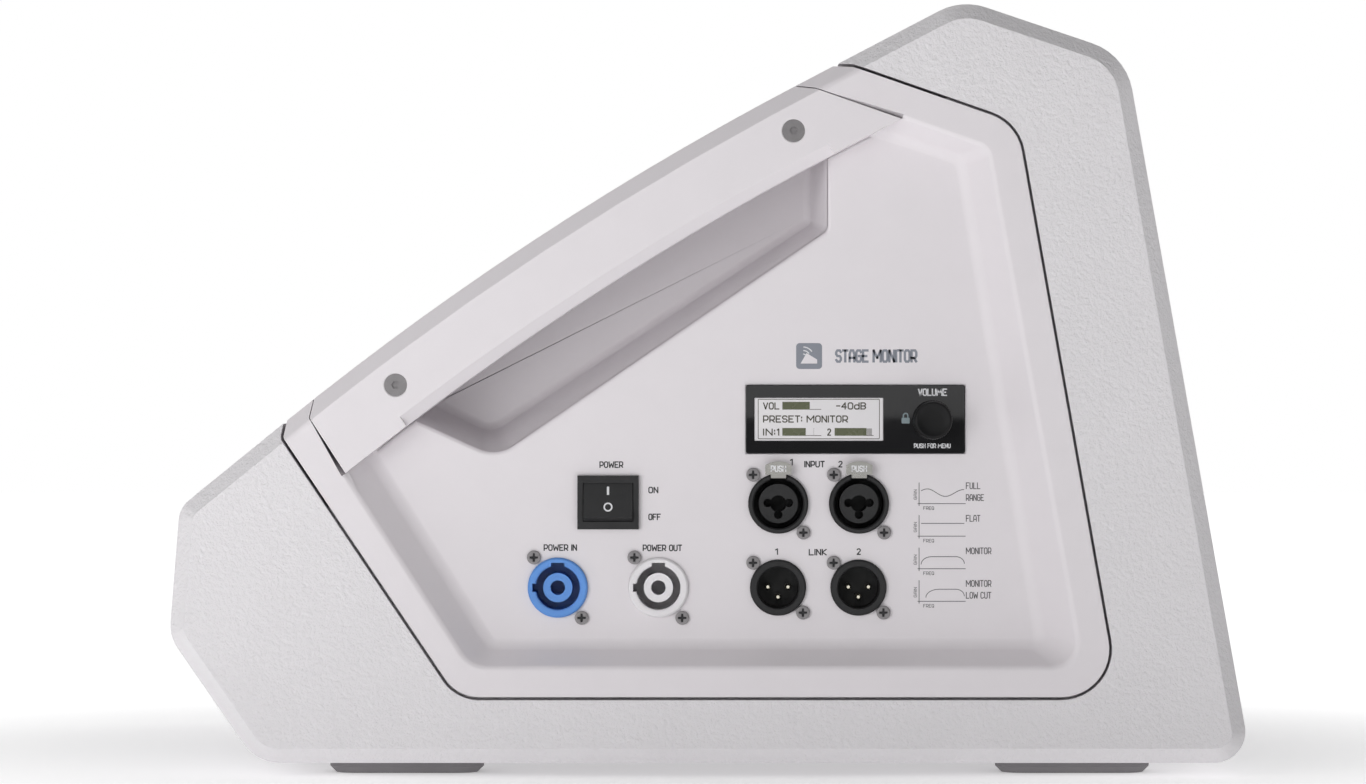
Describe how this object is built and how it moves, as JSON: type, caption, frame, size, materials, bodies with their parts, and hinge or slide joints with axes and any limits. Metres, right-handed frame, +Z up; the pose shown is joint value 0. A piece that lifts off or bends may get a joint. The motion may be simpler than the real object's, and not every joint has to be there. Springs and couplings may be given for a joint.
{
  "type": "stage monitor wedge",
  "caption": "Wedge-shaped powered stage monitor with recessed side handles, a curved front grille and a side control panel.",
  "frame": {"origin": "floor level under the middle of the cabinet's box", "axes": "+Z up, +X towards the control side, -Y towards the low front edge"},
  "size_m": [0.4, 0.4261, 0.3066],
  "materials": {
    "cabinet_paint": "textured white paint on plywood",
    "plywood": "raw plywood",
    "wadding": "loose fibre",
    "moulded_white": "satin",
    "black_foam": "open foam",
    "screw_steel": "plated",
    "black_steel": "black oxide",
    "grille_paint": "powder coat",
    "grey_rubber": "matt",
    "black_plastic": "fine grain",
    "gloss_black": "gloss",
    "lcd_glass": "backlit pale display",
    "circuit_board": "solder mask",
    "latch_steel": "satin",
    "pin_metal": "plated",
    "blue_plastic": "satin",
    "pale_plastic": "satin",
    "amp_aluminium": "mill finish",
    "copper_winding": "enamelled wire",
    "cast_frame": "black powder coat",
    "cone_paper": "pressed paper",
    "spider_cloth": "treated cloth",
    "magnet_steel": "zinc plated",
    "ferrite": "sintered",
    "lead_red": "insulated wire"
  },
  "bodies": {
    "cabinet": {"cabinet_shell": "cabinet_paint", "baffle_board": "plywood", "baffle_cleats": "plywood", "rear_brace": "plywood", "damping_wadding": "wadding", "side_panel_control": "moulded_white", "side_panel_plain": "moulded_white", "panel_gaskets": "black_foam", "handle_bar_control": "moulded_white", "handle_bar_plain": "moulded_white", "handle_screws": "screw_steel", "front_grille": "grille_paint", "grille_foam": "black_foam", "grille_screws": "screw_steel", "rubber_feet": "grey_rubber", "foot_screws": "screw_steel", "pole_socket": "black_plastic", "pole_socket_screws": "screw_steel", "port_tubes": "black_plastic", "display_window": "gloss_black", "lcd_module": "lcd_glass", "display_board": "circuit_board", "switch_housing": "black_plastic", "input_socket_1": "black_plastic", "input_socket_2": "black_plastic", "input_insert_1": "black_plastic", "input_insert_2": "black_plastic", "link_socket_1": "black_plastic", "link_socket_2": "black_plastic", "link_pins": "pin_metal", "mains_inlet": "blue_plastic", "mains_outlet": "pale_plastic", "connector_screws": "screw_steel", "encoder_body": "screw_steel", "amp_chassis": "amp_aluminium", "heat_sink": "amp_aluminium", "amp_board": "circuit_board", "supply_board": "circuit_board", "transformer": "copper_winding", "capacitors": "gloss_black", "driver_frame": "cast_frame", "driver_gasket": "black_foam", "driver_surround": "black_foam", "driver_spider": "spider_cloth", "top_plate": "magnet_steel", "magnet_ring": "ferrite", "back_plate": "magnet_steel", "horn": "black_plastic", "compression_driver": "cast_frame", "terminal_block": "black_plastic", "driver_screws": "black_steel", "speaker_leads": "lead_red"},
    "rocker": {"power_rocker": "black_plastic"},
    "latch_1": {"latch_tab_1": "latch_steel"},
    "latch_2": {"latch_tab_2": "latch_steel"},
    "rotor": {"encoder_rotor": "pale_plastic"},
    "knob": {"volume_knob": "black_plastic"},
    "cone": {"driver_cone": "cone_paper", "voice_coil": "copper_winding"}
  },
  "joints": [
    {"name": "rocker_tilt", "type": "hinge", "parent": "cabinet", "child": "rocker", "pos_m": [0.1826, -0.0396, 0.1091], "axis": [0, 1, 0], "range_deg": [0, 20]},
    {"name": "latch_1_press", "type": "hinge", "parent": "cabinet", "child": "latch_1", "pos_m": [0.18, 0.0281, 0.1194], "axis": [0, -1, 0], "range_deg": [0, 6], "stiffness_Nm_per_rad": 0.05},
    {"name": "latch_2_press", "type": "hinge", "parent": "cabinet", "child": "latch_2", "pos_m": [0.18, 0.0602, 0.1194], "axis": [0, -1, 0], "range_deg": [0, 6], "stiffness_Nm_per_rad": 0.05},
    {"name": "knob_turn", "type": "hinge", "parent": "cabinet", "child": "rotor", "pos_m": [0.186, 0.0893, 0.1418], "axis": [1, 0, 0], "continuous": true},
    {"name": "knob_push", "type": "slide", "parent": "rotor", "child": "knob", "axis": [-1, 0, 0], "range_m": [0, 0.0006], "stiffness_N_per_m": 400},
    {"name": "cone_travel", "type": "slide", "parent": "cabinet", "child": "cone", "axis": [0, -0.549, 0.8358], "range_m": [-0.005, 0.005], "stiffness_N_per_m": 3000, "deforming": ["driver_surround", "driver_spider"]}
  ]
}
